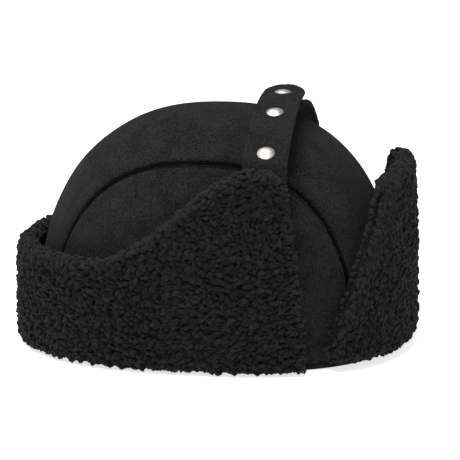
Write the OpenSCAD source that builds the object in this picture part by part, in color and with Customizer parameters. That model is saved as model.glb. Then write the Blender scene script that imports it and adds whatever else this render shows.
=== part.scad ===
// Trapper hat: three-panel wool crown, turned-up cuff of curly pile, turned-up front flap,
// and two straps that snap together over the crown.
// Front is -Y, the wearer's right is -X, the rim rests on z = 0.

/* [Crown] */
// Half of the crown's outside width
crown_a = 96; // [88:1:106]
// Half of the crown's outside length
crown_b = 116; // [106:1:128]
// Height of the crown's top above the table
crown_h = 148; // [134:1:162]
// Half of the centre panel's width
panel_half = 66; // [54:1:72]
// Squareness of the crown seen from above
plan_power = 2.5; // [2.2:0.1:2.8]
// Squareness of the crown seen from the side
profile_power = 2.5; // [2.1:0.1:2.9]

/* [Cloth] */
// Thickness of the wool cloth
wool_t = 2.5; // [2:0.1:3.5]
// Thickness of the wadding between shell and lining
wadding_t = 2; // [1:0.1:3]
// Thickness of the lining
lining_t = 1.2; // [0.8:0.1:1.6]
// Thickness of the pile cloth, with its curls
pile_t = 8.7; // [6:0.1:10]
// Gap that sewn layers keep from each other
layer_gap = 0.3; // [0.2:0.05:0.4]

/* [Sweatband] */
// Height of the sweatband
band_h = 28; // [22:1:34]
// Thickness of the sweatband
band_t = 1.4; // [1:0.1:2]
// Width of the blank woven label
label_w = 34; // [26:1:42]

/* [Cuff] */
// Height of the cuff at the nape
nape_h = 65; // [54:1:76]
// Height of the ear flaps' tops
ear_h = 122; // [112:1:124]
// How far the ear flaps' tops lean in over the crown
ear_lean = 9; // [4:0.5:11]
// Height of the front flap's top
front_h = 116; // [100:1:136]
// How far the front flap's top leans in
front_lean = 4; // [0:0.5:8]
// Height of the front flap's fold above the table
front_fold = 5; // [2:0.5:10]
// Space between the crown and the cuff
cuff_gap = 1.5; // [1:0.1:3]
// Height of the folded facing under the rim
facing_h = 3; // [2:0.5:4]

/* [Straps] */
// Width of both straps
strap_w = 27; // [22:1:30]
// Thickness of one strap ply
ply_t = 1.5; // [1.2:0.1:1.8]
// How far in front of the middle the straps cross the crown
strap_forward = 42; // [38:1:46]
// Height of the closed strap's top surface over the top of the crown
strap_rise = 9.5; // [8:0.1:18]
// Distance between neighbouring snap caps along the strap
snap_pitch = 37; // [34:1:38]

/* [Snaps] */
// Diameter of a snap cap
cap_d = 10.6; // [9.8:0.2:12.6]
// Height of a snap cap's dome
cap_h = 2; // [1.6:0.1:2.6]
// Radius of a snap's barrel
barrel_r = 2; // [1.8:0.05:2.2]
// Height of a socket
socket_h = 2.4; // [2.2:0.1:3]
// Clearance round a barrel in its hole
snap_gap = 0.06; // [0.04:0.01:0.1]

/* [Hidden] */

seam_gap = 0.3;               // between the crown's panels
rim_z = facing_h + 0.3;       // lower edge of the crown's layers
panel_end_z = 16;             // a side panel ends here, where its seam nears the rim
wall_steps = 22;
rise_steps = 9;

shell_in = 0;                                   // offsets are measured outwards from the crown's surface
wadding_out = -wool_t - layer_gap;
lining_out = wadding_out - wadding_t - layer_gap;
band_out = lining_out - lining_t - 3 * layer_gap;
band_in = band_out - band_t;
label_t = 0.6;
label_gap = 0.1;              // between the sweatband and the label
label_rise = 6;               // from the sweatband's edges to the label's
cuff_in = cuff_gap;
pile_in = cuff_in + wool_t + layer_gap;
pile_out = pile_in + pile_t;

// Seams of the cuff, in degrees from the front, and the slit between neighbours
ear_foot = 54;
ear_top = 59;
ear_back = 98;
quarter_back = 130;
nape_back = 163;
wing_foot = 49;
wing_top = 24;
wing_seam = 20;
slit = 0.15;                  // degrees taken off each side of a cuff piece
cuff_z = 1.2;                 // lower edge of the cuff
shoulder_from = 124;          // the cuff's top edge climbs between these two angles
shoulder_to = 68;
lean_from = 20;               // the ear flaps start to lean in at this height

strap_t = 2 * ply_t;
snap_x = -4;                  // where the closed snap sits across the hat
snap_slope = 0.045;           // rise of both straps towards +X at the closed snap
strap_top = crown_h + strap_rise;
root_inset = 13.5;            // from the crown's side to a strap's root
strap_root = crown_a - root_inset;
right_root_rise = 6.08605;    // from an ear flap's top to its strap's root
left_root_rise = 4.70995;
tip_end = 14;                 // how far the right strap's tip passes the middle
tip_split = 20;               // where the right strap's tip starts
tip_gap = 0.6;                // between the right strap and its tip
tab_h = 16;                   // a strap's end sewn to its ear flap
tab_w = 20;
tab_gap = 0.35;
stud_flange = 0.6;
snap_play = 0.25;             // between the closed snap's socket and the left strap's plate
left_tip = 12;                // the left strap passes the snap by this much
left_top = strap_top - strap_t - socket_h - stud_flange - snap_play;

plate_t = 0.8;                // washers and plates under the straps
plate_gap = 0.15;             // room for the strap's curve over a flat plate
cap_rim = 0.5;                // height of a cap's straight edge
socket_r = cap_d / 2 - 0.8;
socket_lip = 0.4;             // thickness of the lip that holds the spring
mouth_gap = 0.35;             // between the stud's head and the socket's mouth
pocket_gap = 1.1;             // between the stud's head and the wall of the spring's pocket
spring_rise = 0.5;            // from the socket's mouth to the spring
spring_gap = 0.6;             // between the stud's neck and the spring
wire_r = 0.3;
stud_r = cap_d / 2 - 1.5;
stud_neck_r = 2.1;
stud_head_r = 2.6;
post_r = 1.2;
post_plate_r = cap_d / 2 - 1.2;

function sq(v) = v * v;
function power(v, p) = pow(max(v, 0), p);

// A point of the crown's plan outline at offset o, phi degrees from the front towards the right
function plan(phi, o) =
    let (s = abs(sin(phi)) / (crown_a + o), c = abs(cos(phi)) / (crown_b + o),
         k = pow(pow(s, plan_power) + pow(c, plan_power), -1 / plan_power))
    [-k * sin(phi), -k * cos(phi)];

// Share of the crown's width that is left at height z on the surface at offset o
function taper(z, o) = power(1 - pow(z / (crown_h + o), profile_power), 1 / profile_power);

function crown_z(x, y, o) = (crown_h + o) * power(
    1 - pow(pow(abs(x) / (crown_a + o), plan_power) + pow(abs(y) / (crown_b + o), plan_power),
            profile_power / plan_power), 1 / profile_power);

function crown_x(y, z, o) = (crown_a + o) * power(
    pow(taper(z, o), plan_power) - pow(abs(y) / (crown_b + o), plan_power), 1 / plan_power);

function crown_y(x, z, o) = (crown_b + o) * power(
    pow(taper(z, o), plan_power) - pow(abs(x) / (crown_a + o), plan_power), 1 / plan_power);

// Rows of points on a side panel: along the seam from back to front, then from the rim to the seam
function side_grid(o, side) =
    let (w = panel_half + seam_gap / 2, reach = crown_y(w, panel_end_z, o))
    [for (i = [0:wall_steps])
        let (y = reach * cos(180 * i / wall_steps), top = crown_z(w, y, o))
        [for (j = [0:rise_steps])
            let (z = rim_z + (top - rim_z) * j / rise_steps)
            [side * (j == rise_steps ? w : crown_x(y, z, o)), y, z]]];

// Rows of points on the centre panel: from back to front, then from right to left
function centre_grid(o) =
    let (w = panel_half - seam_gap / 2, rows = wall_steps + 6, columns = 10)
    [for (i = [0:rows])
        [for (j = [0:columns])
            let (x = w * (2 * j / columns - 1), y = crown_y(x, rim_z, o) * cos(180 * i / rows))
            [x, y, max(crown_z(x, y, o), rim_z)]]];

function flat(rows) = [for (row = rows) each row];

// A closed sheet between two grids of points
module sheet(outer, inner, turned = false) {
    n = len(outer);
    m = len(outer[0]);
    k = n * m;
    quads = concat(
        [for (i = [0:n - 2], j = [0:m - 2]) [i * m + j, (i + 1) * m + j, (i + 1) * m + j + 1, i * m + j + 1]],
        [for (i = [0:n - 2], j = [0:m - 2])
            [k + i * m + j, k + i * m + j + 1, k + (i + 1) * m + j + 1, k + (i + 1) * m + j]],
        [for (i = [0:n - 2]) [i * m, k + i * m, k + (i + 1) * m, (i + 1) * m]],
        [for (i = [0:n - 2]) [(i + 1) * m + m - 1, k + (i + 1) * m + m - 1, k + i * m + m - 1, i * m + m - 1]],
        [for (j = [0:m - 2]) [j + 1, k + j + 1, k + j, j]],
        [for (j = [0:m - 2]) [(n - 1) * m + j, k + (n - 1) * m + j, k + (n - 1) * m + j + 1, (n - 1) * m + j + 1]]);
    triangles = [for (q = quads) each [[q[0], q[1], q[2]], [q[0], q[2], q[3]]]];
    polyhedron(concat(flat(outer), flat(inner)),
        turned ? [for (t = triangles) [t[2], t[1], t[0]]] : triangles, convexity = 6);
}

module side_layer(out, thickness, side) {
    sheet(side_grid(out, side), side_grid(out - thickness, side), side > 0);
}

module centre_layer(out, thickness) {
    sheet(centre_grid(out), centre_grid(out - thickness));
}

module plan_outline(o, steps = 72) {
    polygon([for (i = [0:steps - 1]) plan(360 * i / steps, o)]);
}

// A ring round the rim that leans in with the crown
module rim_ring(out, in, z, h) {
    translate([0, 0, z]) linear_extrude(h, scale = taper(z + h, out)) difference() {
        plan_outline(out);
        plan_outline(in);
    }
}

// ---- Cuff ----

function smooth(t) = let (u = min(max(t, 0), 1)) u * u * (3 - 2 * u);
function cuff_top(phi) = nape_h + (ear_h - nape_h) * smooth((shoulder_from - phi) / (shoulder_from - shoulder_to));
function mix(a, b, t) = a + (b - a) * t;

// Rounding of a pile sheet near its lower and upper edges: 0 at the edge, 1 away from it
function roundness(z, top) = min(sqrt(min(z / 10, 1)), sqrt(min((top - z) / 8, 1)));

function cuff_lean(z) = ear_lean * sq(max(z - lean_from, 0) / (ear_h - lean_from));
function flap_lean(z) = front_lean * sq(z / front_h);

// A sort of cuff piece: the height of its foot, its top edge's height at phi, and its lean at height z
cuff_sort = [cuff_z, function (phi) cuff_top(phi), function (z) cuff_lean(z)];
front_sort = [front_fold, function (phi) front_h, function (z) flap_lean(z)];

function cuff_point(phi, z, o, side) = let (p = plan(phi, o)) [p[0] * side, p[1], z];

// A cuff piece's grid. near and far give its side edges' angles as [at the foot, at the top].
function cuff_grid(near, far, o, sort, round_by, side, columns = 7, rows = 8) =
    [for (i = [0:columns])
        let (u = i / columns, foot = sort[0], top = sort[1](mix(near[1], far[1], u)))
        [for (j = [0:rows])
            let (z = mix(foot, top, j / rows),
                 phi = mix(mix(near[0], near[1], j / rows), mix(far[0], far[1], j / rows), u))
            cuff_point(phi, z, o - sort[2](z) - round_by * (1 - roundness(z - foot, top - foot)), side)]];

module cuff_sheet(cut, in, thickness, sort, round_by, side) {
    near = [cut[0][0] + slit, cut[0][1] + slit];
    far = [cut[1][0] - slit, cut[1][1] - slit];
    sheet(cuff_grid(near, far, in + thickness, sort, round_by, side),
        cuff_grid(near, far, in, sort, 0, side), side < 0);
}

module cuff_part(cut, side, pile, sort = cuff_sort) {
    if (pile)
        color("#1b1b1c") cuff_sheet(cut, pile_in, pile_t, sort, pile_t / 2, side);
    else
        color("#2a2a2b") cuff_sheet(cut, cuff_in, wool_t, sort, 0, side);
}

ear_cut = [[ear_foot, ear_top], [ear_back, ear_back]];
quarter_cut = [[ear_back, ear_back], [quarter_back, quarter_back]];
nape_cut = [[quarter_back, quarter_back], [nape_back, nape_back]];
back_cut = [[nape_back, nape_back], [360 - nape_back, 360 - nape_back]];
wing_cut = [[wing_seam, wing_seam], [wing_foot, wing_top]];
front_cut = [[-wing_seam, -wing_seam], [wing_seam, wing_seam]];

// ---- Straps ----

// Height of a strap's top surface at distance r from the middle on its own side
function strap_z(top, sag, along) = top + snap_slope * along - sag * sq(along);

// How fast a strap falls away from the snap, so that its root ends over its ear flap
function strap_sag(top, along, rise) = (top + snap_slope * along - ear_h - rise) / sq(along);
right_sag = strap_sag(strap_top, -strap_root - snap_x, right_root_rise);
left_sag = strap_sag(left_top, strap_root - snap_x, left_root_rise);
right_top = function (r) strap_z(strap_top, right_sag, -r - snap_x);
left_line = function (r) strap_z(left_top, left_sag, r - snap_x);

// Profile of a strip between r0 and r1, from depth d0 to depth d1 below the top surface
function strip(r0, r1, d0, d1, top, steps = 16) = concat(
    [for (i = [0:steps]) let (r = mix(r0, r1, i / steps)) [r, top(r) - d0]],
    [for (i = [0:steps]) let (r = mix(r1, r0, i / steps)) [r, top(r) - d1]]);

module across(side) {
    translate([0, -strap_forward, 0]) mirror([side < 0 ? 1 : 0, 0, 0]) rotate([90, 0, 0]) children();
}

// Extrudes a profile drawn as [distance from the middle, height] over the strap's width
module strap_band(side) {
    across(side) linear_extrude(strap_w, center = true) children();
}

module round_tip(end, side) {
    translate([0, -strap_forward, 0]) mirror([side < 0 ? 1 : 0, 0, 0]) linear_extrude(400) union() {
        translate([end + strap_w / 2, 0]) circle(d = strap_w, $fn = 64);
        translate([end + strap_w / 2, -strap_w / 2]) square([200, strap_w]);
    }
}

// Places children on a strap's top surface at distance r, standing along its normal
module on_strap(r, top, side) {
    slope = atan((top(r + 0.5) - top(r - 0.5)));
    translate([side * r, -strap_forward, top(r)]) rotate([0, -side * slope, 0]) children();
}

module snap_hole(r, top, side, radius) {
    on_strap(r, top, side) translate([0, 0, -strap_t - 2]) cylinder(r = radius, h = strap_t + 4, $fn = 40);
}

cap_places = [for (i = [1:2]) i * snap_pitch - snap_x + 0.5 * sq(i - 1)];
barrel_hole = barrel_r + snap_gap;

module right_ply(d0, d1) {
    color("#2d2d2e") difference() {
        strap_band(-1) polygon(strip(tip_split + tip_gap, strap_root, d0, d1, right_top));
        for (r = cap_places) snap_hole(r, right_top, -1, barrel_hole);
    }
}

module tip_ply(d0, d1) {
    color("#2d2d2e") difference() {
        intersection() {
            strap_band(-1) polygon(strip(-tip_end, tip_split, d0, d1, right_top));
            round_tip(-tip_end, -1);
        }
        snap_hole(-snap_x, right_top, -1, barrel_hole);
    }
}

module left_ply(d0, d1) {
    color("#2d2d2e") difference() {
        intersection() {
            strap_band(1) polygon(strip(snap_x - left_tip, strap_root, d0, d1, left_line));
            round_tip(snap_x - left_tip, 1);
        }
        snap_hole(snap_x, left_line, 1, post_r + snap_gap);
    }
}

// The end of a strap, sewn to the inner face of its ear flap
module strap_tab(side) {
    outer = cuff_in - tab_gap;
    grid = function (o) [for (i = [0:4]) [for (j = [0:6])
        let (z = ear_h + 1 - tab_h * (1 - j / 6), y = strap_forward + tab_w * (0.5 - i / 4), lean = cuff_lean(z))
        [-side * (crown_a + o - lean) * pow(1 - pow(y / (crown_b + o - lean), plan_power), 1 / plan_power), -y, z]]];
    color("#2d2d2e") sheet(grid(outer), grid(outer - strap_t), side < 0);
}

// ---- Snaps, drawn with the strap's top surface at z = 0 ----

module cap() {
    r = cap_d / 2;
    dome = cap_h - cap_rim;
    ball = (sq(r) + sq(dome)) / (2 * dome);
    color("#d8d6d2") rotate_extrude($fn = 64) union() {
        square([r, cap_rim]);
        intersection() {
            translate([0, cap_h - ball]) circle(r = ball, $fn = 128);
            translate([0, cap_rim]) square([r, cap_h]);
        }
        translate([0, -strap_t - plate_gap - plate_t]) square([barrel_r, strap_t + plate_gap + plate_t + cap_rim]);
    }
}

module socket() {
    top = -strap_t - plate_gap;
    bottom = top - socket_h;
    mouth = stud_head_r + mouth_gap;
    pocket = stud_head_r + pocket_gap;
    color("#b9b7b2") rotate_extrude($fn = 64) polygon([
        [barrel_r + snap_gap, top], [socket_r, top], [socket_r, bottom], [mouth, bottom],
        [mouth, bottom + socket_lip], [pocket, bottom + socket_lip], [pocket, top - plate_t],
        [barrel_r + snap_gap, top - plate_t]]);
}

module spring_ring() {
    color("#8f8d88") translate([0, 0, -strap_t - plate_gap - socket_h + spring_rise + wire_r])
        rotate_extrude($fn = 64) translate([stud_neck_r + spring_gap + wire_r, 0]) circle(r = wire_r, $fn = 24);
}

module stud() {
    hole = post_r + snap_gap;
    color("#c4c2bd") rotate_extrude($fn = 64) polygon([
        [hole, 0], [stud_r, 0], [stud_r, stud_flange], [stud_neck_r, stud_flange],
        [stud_neck_r, stud_flange + 0.9], [stud_head_r - 0.2, stud_flange + 1.2], [stud_head_r - 0.2, stud_flange + 1.35],
        [stud_neck_r - 0.3, stud_flange + 1.55], [hole, stud_flange + 1.55]]);
}

module post() {
    color("#c4c2bd") rotate_extrude($fn = 64) union() {
        translate([0, -strap_t - plate_gap - plate_t]) square([post_plate_r, plate_t]);
        translate([0, -strap_t - plate_gap - plate_t]) square([post_r, strap_t + plate_gap + plate_t + stud_flange]);
    }
}

module label() {
    color("#3a3a3c") intersection() {
        translate([-label_w / 2, 0, rim_z + label_rise]) cube([label_w, crown_b, band_h - 2 * label_rise]);
        rim_ring(band_in - label_gap, band_in - label_gap - label_t, rim_z, band_h);
    }
}

color("#2b2b2c") centre_layer(shell_in, wool_t);  // crown_centre_panel
color("#262627") side_layer(shell_in, wool_t, -1);  // crown_side_panel_right
color("#262627") side_layer(shell_in, wool_t, 1);  // crown_side_panel_left
color("#e9e6df") centre_layer(wadding_out, wadding_t);  // wadding_centre_panel
color("#e9e6df") side_layer(wadding_out, wadding_t, -1);  // wadding_side_panel_right
color("#e9e6df") side_layer(wadding_out, wadding_t, 1);  // wadding_side_panel_left
color("#1e1e20") centre_layer(lining_out, lining_t);  // lining_centre_panel
color("#1e1e20") side_layer(lining_out, lining_t, -1);  // lining_side_panel_right
color("#1e1e20") side_layer(lining_out, lining_t, 1);  // lining_side_panel_left
color("#151516") rim_ring(band_out, band_in, rim_z, band_h);  // sweatband
color("#1b1b1c") rim_ring(1, band_in, 0, facing_h);  // rim_facing
label();  // blank_label

cuff_part(ear_cut, 1, false);  // right_ear_flap_shell
cuff_part(ear_cut, 1, true);  // right_ear_flap_pile
cuff_part(quarter_cut, 1, false);  // right_quarter_shell
cuff_part(quarter_cut, 1, true);  // right_quarter_pile
cuff_part(nape_cut, 1, false);  // right_nape_shell
cuff_part(nape_cut, 1, true);  // right_nape_pile
cuff_part(back_cut, 1, false);  // back_nape_shell
cuff_part(back_cut, 1, true);  // back_nape_pile
cuff_part(nape_cut, -1, false);  // left_nape_shell
cuff_part(nape_cut, -1, true);  // left_nape_pile
cuff_part(quarter_cut, -1, false);  // left_quarter_shell
cuff_part(quarter_cut, -1, true);  // left_quarter_pile
cuff_part(ear_cut, -1, false);  // left_ear_flap_shell
cuff_part(ear_cut, -1, true);  // left_ear_flap_pile

cuff_part(front_cut, 1, false, front_sort);  // front_flap_shell
cuff_part(front_cut, 1, true, front_sort);  // front_flap_pile
cuff_part(wing_cut, 1, false, front_sort);  // front_right_wing_shell
cuff_part(wing_cut, 1, true, front_sort);  // front_right_wing_pile
cuff_part(wing_cut, -1, false, front_sort);  // front_left_wing_shell
cuff_part(wing_cut, -1, true, front_sort);  // front_left_wing_pile

strap_tab(1);  // right_strap_tab
strap_tab(-1);  // left_strap_tab
right_ply(0, ply_t);  // right_strap_face
right_ply(ply_t, strap_t);  // right_strap_back
for (r = cap_places) on_strap(r, right_top, -1) cap();  // snap_caps
for (r = cap_places) on_strap(r, right_top, -1) socket();  // snap_sockets
for (r = cap_places) on_strap(r, right_top, -1) spring_ring();  // socket_springs
tip_ply(0, ply_t);  // strap_tip_face
tip_ply(ply_t, strap_t);  // strap_tip_back
on_strap(-snap_x, right_top, -1) cap();  // tip_snap_cap
on_strap(-snap_x, right_top, -1) socket();  // tip_snap_socket
on_strap(-snap_x, right_top, -1) spring_ring();  // tip_socket_spring
left_ply(0, ply_t);  // left_strap_face
left_ply(ply_t, strap_t);  // left_strap_back
on_strap(snap_x, left_line, 1) stud();  // snap_stud
on_strap(snap_x, left_line, 1) post();  // snap_post
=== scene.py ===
"""A trapper hat: three-panel wool crown, turned-up cuff and front flap of curly pile, and snap straps.

Lengths inside the classes are in millimetres; meshes are made in metres.
"""
import logging
import math
from dataclasses import dataclass
from enum import Enum
from typing import Sequence

import bpy
import numpy as np
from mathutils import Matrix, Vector

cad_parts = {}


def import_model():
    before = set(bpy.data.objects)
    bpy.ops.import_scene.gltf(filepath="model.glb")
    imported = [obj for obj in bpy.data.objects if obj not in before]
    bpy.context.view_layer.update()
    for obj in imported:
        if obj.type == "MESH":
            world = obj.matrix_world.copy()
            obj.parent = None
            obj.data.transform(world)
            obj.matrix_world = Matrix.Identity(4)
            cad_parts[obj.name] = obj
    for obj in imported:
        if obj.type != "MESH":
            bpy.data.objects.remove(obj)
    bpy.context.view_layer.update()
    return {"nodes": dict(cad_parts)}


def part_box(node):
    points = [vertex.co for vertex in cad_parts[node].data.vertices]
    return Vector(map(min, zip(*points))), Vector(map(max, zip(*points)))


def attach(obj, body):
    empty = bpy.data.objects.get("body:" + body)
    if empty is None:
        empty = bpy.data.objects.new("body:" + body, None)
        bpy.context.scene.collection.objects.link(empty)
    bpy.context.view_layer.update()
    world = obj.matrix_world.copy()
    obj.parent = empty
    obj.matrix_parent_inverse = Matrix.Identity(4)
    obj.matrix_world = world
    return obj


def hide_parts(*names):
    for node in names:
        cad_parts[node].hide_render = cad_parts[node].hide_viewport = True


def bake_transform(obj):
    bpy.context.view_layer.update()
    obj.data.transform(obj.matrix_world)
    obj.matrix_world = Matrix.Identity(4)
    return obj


LOG = logging.getLogger("trapper_hat")
MM = 0.001
Array = np.ndarray


class Side(Enum):
    """Which side of the wearer a piece is on."""

    RIGHT = "right"
    LEFT = "left"

    @property
    def sign(self) -> int:
        """+1 on the wearer's right, where X is negative, and -1 on the left."""
        return 1 if self is Side.RIGHT else -1


def ease(share: Array) -> Array:
    """Turns a straight rise from 0 to 1 into a smooth one."""
    return share * share * (3 - 2 * share)


def unit(vectors: Array, guard: float = 1e-9) -> Array:
    """Vectors of length 1. The guard keeps an empty vector from dividing by nothing."""
    return vectors / (np.linalg.norm(vectors, axis=-1, keepdims=True) + guard)


def quarter_round(distance: Array, radius: float) -> Array:
    """Height of a rounded edge, from 0 at the edge to 1 a radius away from it."""
    return np.sqrt(1 - (1 - np.clip(distance / radius, 0, 1)) ** 2)


def signed_power(share: Array, power: float) -> Array:
    """A power that keeps the sign, for the outline of a superellipse."""
    return np.sign(share) * np.abs(share) ** power


# ---------------------------------------------------------------- noise


def _hash(cell: Array, seed: int) -> Array:
    """Hashes whole-number cells to three values from 0 to 1.

    Args:
        cell: whole numbers, shape (..., 3).
        seed: picks the pattern.

    Returns:
        Values from 0 to 1, shape (..., 3).
    """
    c = cell.astype(np.int64).astype(np.uint64)
    h = c[..., 0] * np.uint64(73856093) ^ c[..., 1] * np.uint64(19349663)
    h = h ^ c[..., 2] * np.uint64(83492791) ^ np.uint64(seed * 2654435761 % 2**32)
    out = []
    for k in range(3):
        h = (h ^ (h >> np.uint64(15))) * np.uint64(2246822519 + 2 * k)
        h = (h ^ (h >> np.uint64(13))) * np.uint64(3266489917)
        h = (h ^ (h >> np.uint64(16))) & np.uint64(0xFFFFFFFF)
        out.append(h.astype(np.float64) / 2**32)
    return np.stack(out, -1)


def drift(p: Array, size: float, seed: int) -> Array:
    """Smooth random vectors that vary over a length.

    Args:
        p: points, shape (n, 3).
        size: the length over which the vectors change.
        seed: picks the pattern.

    Returns:
        Vectors with each part from -1 to 1, shape (n, 3).
    """
    q = p / size
    base = np.floor(q)
    f = q - base
    f = ease(f)
    total = np.zeros_like(q)
    for corner in np.ndindex(2, 2, 2):
        c = np.array(corner)
        weight = np.prod(np.where(c, f, 1 - f), axis=-1, keepdims=True)
        total += weight * (_hash(base + c, seed) * 2 - 1)
    return total


def curls(p: Array, size: float, seed: int) -> tuple[Array, Array, Array]:
    """Distances to the nearest and second nearest scattered curl centres.

    Args:
        p: points, shape (n, 3).
        size: the usual distance between curls.
        seed: picks the pattern.

    Returns:
        The two distances as shares of size, and the vector to the nearest centre.
    """
    q = p / size
    base = np.floor(q)
    near = np.full(len(q), 9.0)
    second = np.full(len(q), 9.0)
    towards = np.zeros_like(q)
    for corner in np.ndindex(3, 3, 3):
        cell = base + np.array(corner) - 1
        gap = cell + 0.15 + 0.7 * _hash(cell, seed) - q
        d = np.sqrt((gap * gap).sum(-1))
        closer = d < near
        second = np.where(closer, near, np.minimum(second, d))
        towards = np.where(closer[:, None], gap, towards)
        near = np.minimum(near, d)
    return near, second, towards * size


# ---------------------------------------------------------------- the hat's form


@dataclass(frozen=True)
class Form:
    """The crown's surface and the cuff's edges.

    The crown's three sizes come from the frame. The other values repeat the CAD model's.
    """

    a: float
    b: float
    h: float
    plan_power: float = 2.5
    profile_power: float = 2.5
    panel_half: float = 66.0
    rim: float = 3.3
    panel_end: float = 16.0
    nape_h: float = 65.0
    ear_h: float = 122.0
    ear_lean: float = 9.0
    front_h: float = 116.0
    front_lean: float = 4.0
    front_fold: float = 5.0
    foot: float = 1.2
    shoulder_from: float = 124.0
    shoulder_to: float = 68.0
    lean_from: float = 20.0

    @classmethod
    def from_frame(cls) -> "Form":
        """Reads the crown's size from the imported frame."""
        low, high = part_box("crown_centre_panel")
        side_low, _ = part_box("crown_side_panel_right")
        return cls(a=-side_low.x / MM, b=high.y / MM, h=high.z / MM)

    def plan(self, phi: Array, o: Array) -> tuple[Array, Array]:
        """The outline seen from above.

        Args:
            phi: degrees from the front towards the wearer's right.
            o: distance outwards from the crown's surface.

        Returns:
            x and y.
        """
        r = np.radians(phi)
        s, c = np.abs(np.sin(r)) / (self.a + o), np.abs(np.cos(r)) / (self.b + o)
        k = (s**self.plan_power + c**self.plan_power) ** (-1 / self.plan_power)
        return -k * np.sin(r), -k * np.cos(r)

    def taper(self, z: Array, o: Array) -> Array:
        """Share of the crown's width that is left at height z."""
        return np.clip(1 - (z / (self.h + o)) ** self.profile_power, 0, None) ** (1 / self.profile_power)

    def top_z(self, x: Array, y: Array, o: Array) -> Array:
        """The crown's height over a point."""
        f = (np.abs(x) / (self.a + o)) ** self.plan_power + (np.abs(y) / (self.b + o)) ** self.plan_power
        f = f ** (self.profile_power / self.plan_power)
        return (self.h + o) * np.clip(1 - f, 0, None) ** (1 / self.profile_power)

    def side_x(self, y: Array, z: Array, o: Array) -> Array:
        """The crown's half width at a place along it and a height."""
        f = self.taper(z, o) ** self.plan_power - (np.abs(y) / (self.b + o)) ** self.plan_power
        return (self.a + o) * np.clip(f, 0, None) ** (1 / self.plan_power)

    def end_y(self, x: Array, z: Array, o: Array) -> Array:
        """The crown's half length at a place across it and a height."""
        f = self.taper(z, o) ** self.plan_power - (np.abs(x) / (self.a + o)) ** self.plan_power
        return (self.b + o) * np.clip(f, 0, None) ** (1 / self.plan_power)

    def cuff_top(self, phi: Array) -> Array:
        """Height of the cuff's top edge."""
        folded = np.where(np.abs(phi) > 180, 360 - np.abs(phi), np.abs(phi))
        u = np.clip((self.shoulder_from - folded) / (self.shoulder_from - self.shoulder_to), 0, 1)
        return self.nape_h + (self.ear_h - self.nape_h) * u * u * (3 - 2 * u)

    def cuff_lean(self, z: Array) -> Array:
        """How far the cuff leans in at height z."""
        return self.ear_lean * (np.clip(z - self.lean_from, 0, None) / (self.ear_h - self.lean_from)) ** 2

    def flap_lean(self, z: Array) -> Array:
        """How far the front flap leans in at height z."""
        return self.front_lean * (z / self.front_h) ** 2


# ---------------------------------------------------------------- meshes


def grid_quads(rows: int, columns: int, ring: bool) -> tuple[Array, Array]:
    """Numbers a grid's points, and gives the four corners of each face."""
    index = np.arange(rows * columns).reshape(rows, columns)
    if ring:
        index = np.concatenate([index, index[:, :1]], 1)
    corners = [index[:-1, :-1], index[1:, :-1], index[1:, 1:], index[:-1, 1:]]
    return index, np.stack(corners, -1).reshape(-1, 4)


def end_caps(index: Array, columns: int) -> list[list[int]]:
    """The faces that close a grid's first and last row."""
    return [index[0, :columns].tolist(), index[-1, :columns][::-1].tolist()]


def add_mesh(name: str, points: Array, faces: list) -> bpy.types.Object:
    """Makes an object from points in millimetres."""
    mesh = bpy.data.meshes.new(name)
    mesh.from_pydata((points.reshape(-1, 3) * MM).tolist(), [], faces)
    mesh.validate()
    piece = bpy.data.objects.new(name, mesh)
    bpy.context.scene.collection.objects.link(piece)
    return piece


def grid_mesh(name: str, points: Array, ring: bool = False, caps: bool = False) -> bpy.types.Object:
    """Makes a mesh from rows of points.

    Args:
        name: the piece's name.
        points: millimetres, shape (rows, columns, 3).
        ring: joins each row's last point to its first.
        caps: closes the first and last row with a face.

    Returns:
        The new object.
    """
    rows, columns = points.shape[:2]
    index, quads = grid_quads(rows, columns, ring)
    return add_mesh(name, points, quads.tolist() + (end_caps(index, columns) if caps else []))


def only(piece: bpy.types.Object) -> None:
    """Selects one object and makes it active."""
    bpy.ops.object.select_all(action="DESELECT")
    piece.select_set(True)
    bpy.context.view_layer.objects.active = piece


def finish_mesh(piece: bpy.types.Object, angle: float = 60.0) -> None:
    """Turns the faces outwards and shades them smooth.

    Args:
        piece: the object.
        angle: edges sharper than this stay sharp, in degrees.
    """
    only(piece)
    bpy.ops.object.mode_set(mode="EDIT")
    bpy.ops.mesh.select_all(action="SELECT")
    bpy.ops.mesh.remove_doubles(threshold=0.00002)
    bpy.ops.mesh.normals_make_consistent(inside=False)
    bpy.ops.object.mode_set(mode="OBJECT")
    bpy.ops.object.shade_smooth_by_angle(angle=math.radians(angle))


def thicken(piece: bpy.types.Object, thickness: float) -> None:
    """Gives a sheet its thickness inwards, away from its outer face."""
    only(piece)
    wall = piece.modifiers.new("thickness", "SOLIDIFY")
    wall.thickness = thickness * MM
    wall.offset = -1
    wall.use_even_offset = False
    bpy.ops.object.modifier_apply(modifier=wall.name)


def mark(piece: bpy.types.Object, name: str, values: Array) -> None:
    """Writes one value a point for a material to read."""
    attribute = piece.data.attributes.new(name, "FLOAT", "POINT")
    attribute.data.foreach_set("value", values.astype(np.float32))


def dress(piece: bpy.types.Object, material: bpy.types.Material) -> None:
    """Gives a piece its material."""
    piece.data.materials.clear()
    piece.data.materials.append(material)


# ---------------------------------------------------------------- finishes


def new_group(name: str, inputs: Sequence[tuple[str, str, object]], outputs: Sequence[tuple[str, str]]):
    """Makes an empty shader node group.

    Args:
        name: the group's name.
        inputs: name, socket type and default of each input.
        outputs: name and socket type of each output.

    Returns:
        The group, its input node and its output node.
    """
    group = bpy.data.node_groups.new(name, "ShaderNodeTree")
    for label, kind, default in inputs:
        socket = group.interface.new_socket(label, in_out="INPUT", socket_type=kind)
        socket.default_value = default
    for label, kind in outputs:
        group.interface.new_socket(label, in_out="OUTPUT", socket_type=kind)
    return group, group.nodes.new("NodeGroupInput"), group.nodes.new("NodeGroupOutput")


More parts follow.
